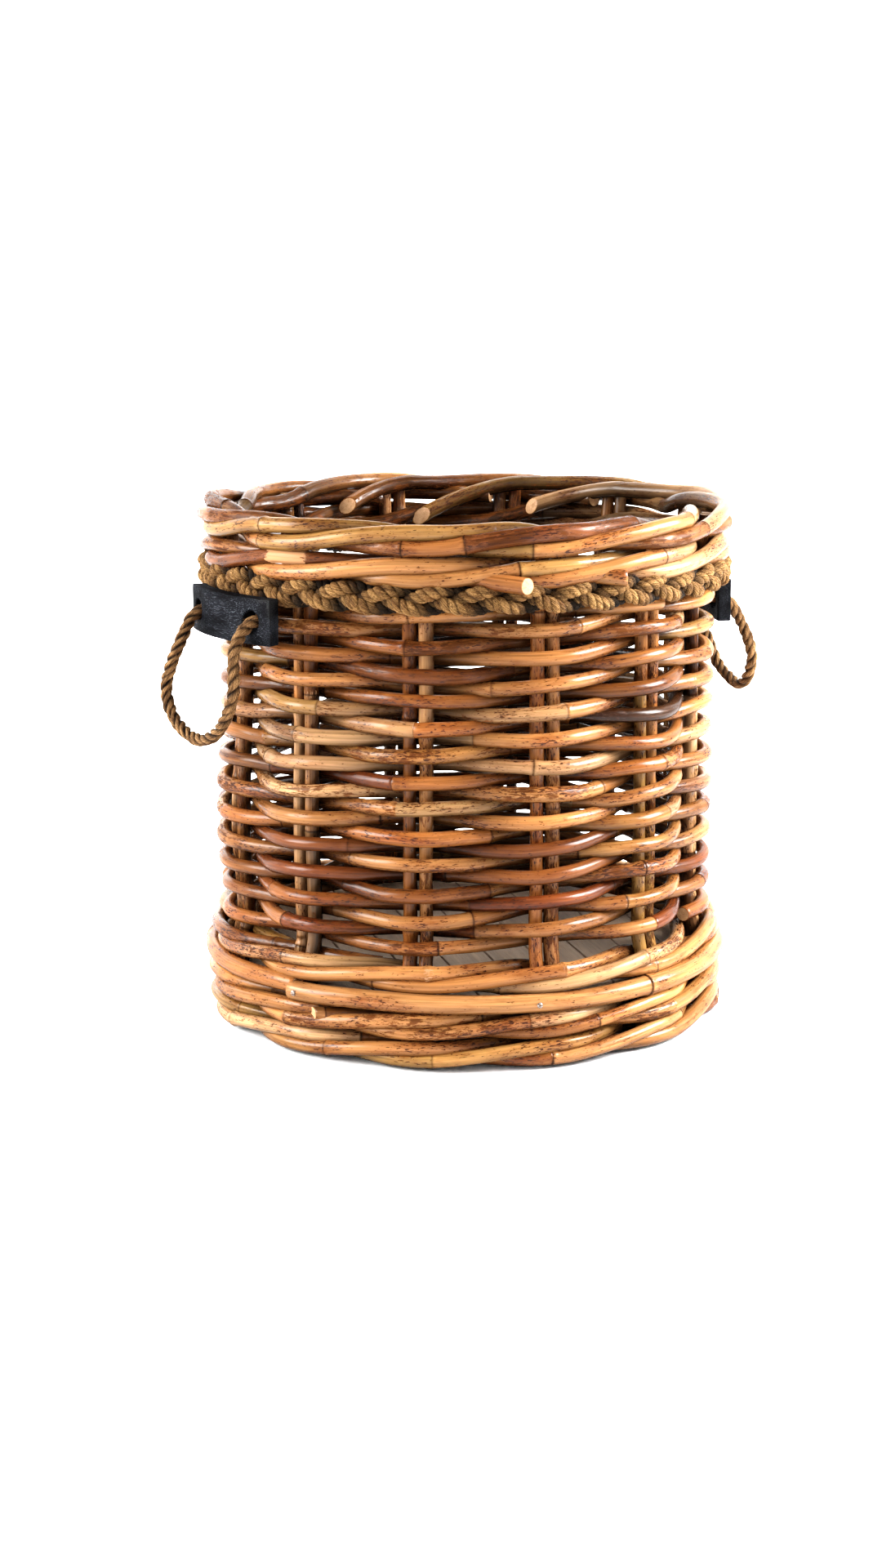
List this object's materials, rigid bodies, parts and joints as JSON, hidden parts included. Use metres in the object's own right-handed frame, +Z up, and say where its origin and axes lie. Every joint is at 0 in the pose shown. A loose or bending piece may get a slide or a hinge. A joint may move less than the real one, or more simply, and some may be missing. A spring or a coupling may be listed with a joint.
{
  "type": "woven laundry basket",
  "caption": "Round open basket of thick woven rattan cane on paired stakes, with waled foot and rim, rope band, slatted floor and swinging rope loop handles on curved wooden plates.",
  "frame": {"origin": "centre of the basket's footprint on the floor", "axes": "+Z up through the open mouth, X across the two rope handles, which sit a few degrees forward of it, and -Y towards the front"},
  "size_m": [0.6345, 0.5268, 0.5122],
  "materials": {
    "stake": "varnished rattan, brown with dark streaks",
    "weaver": "glossy varnished rattan, tan to red-brown",
    "rim": "glossy varnished rattan, golden tan",
    "foot": "glossy varnished rattan, orange tan",
    "hoop": "glossy varnished rattan, orange tan",
    "rope_band": "plaited seagrass rope, golden brown and hairy",
    "floor": "plain sawn board, beige and matt",
    "plate": "ebonised wood, satin with open grain",
    "rope": "twisted dark brown natural rope"
  },
  "bodies": {
    "basket": {"stake_01a": "stake", "stake_01b": "stake", "stake_02a": "stake", "stake_02b": "stake", "stake_03a": "stake", "stake_03b": "stake", "stake_04a": "stake", "stake_04b": "stake", "stake_05a": "stake", "stake_05b": "stake", "stake_06a": "stake", "stake_06b": "stake", "stake_07a": "stake", "stake_07b": "stake", "stake_08a": "stake", "stake_08b": "stake", "stake_09a": "stake", "stake_09b": "stake", "stake_10a": "stake", "stake_10b": "stake", "stake_11a": "stake", "stake_11b": "stake", "stake_12a": "stake", "stake_12b": "stake", "foot_rod_1": "foot", "foot_rod_2": "foot", "foot_rod_3": "foot", "shoulder_rod_1": "foot", "shoulder_rod_2": "foot", "shoulder_rod_3": "foot", "rim_lower_rod_1": "rim", "rim_lower_rod_2": "rim", "rim_lower_rod_3": "rim", "rim_upper_rod_1": "rim", "rim_upper_rod_2": "rim", "rim_upper_rod_3": "rim", "weaver_a1": "weaver", "weaver_a2": "weaver", "weaver_a3": "weaver", "weaver_b1": "weaver", "weaver_b2": "weaver", "weaver_b3": "weaver", "floor_slat_1": "floor", "floor_slat_2": "floor", "floor_slat_3": "floor", "floor_slat_4": "floor", "floor_slat_5": "floor", "floor_slat_6": "floor", "floor_slat_7": "floor", "floor_slat_8": "floor", "floor_slat_9": "floor", "floor_slat_10": "floor", "nailed_hoop": "hoop", "braided_rope_band": "rope_band", "handle_plate_left": "plate", "rope_tie_left": "rope", "handle_plate_right": "plate", "rope_tie_right": "rope"},
    "rope_loop_left": {"rope_loop_left": "rope"},
    "rope_loop_right": {"rope_loop_right": "rope"}
  },
  "joints": [
    {"name": "left_rope_loop_swing", "type": "hinge", "parent": "basket", "child": "rope_loop_left", "pos_m": [-0.28333, -0.03078, 0.41], "axis": [-0.108, 0.9942, 0], "range_deg": [0, 135]},
    {"name": "right_rope_loop_swing", "type": "hinge", "parent": "basket", "child": "rope_loop_right", "pos_m": [0.28496, -0.00497, 0.393], "axis": [-0.0175, -0.9998, 0], "range_deg": [0, 135]}
  ]
}
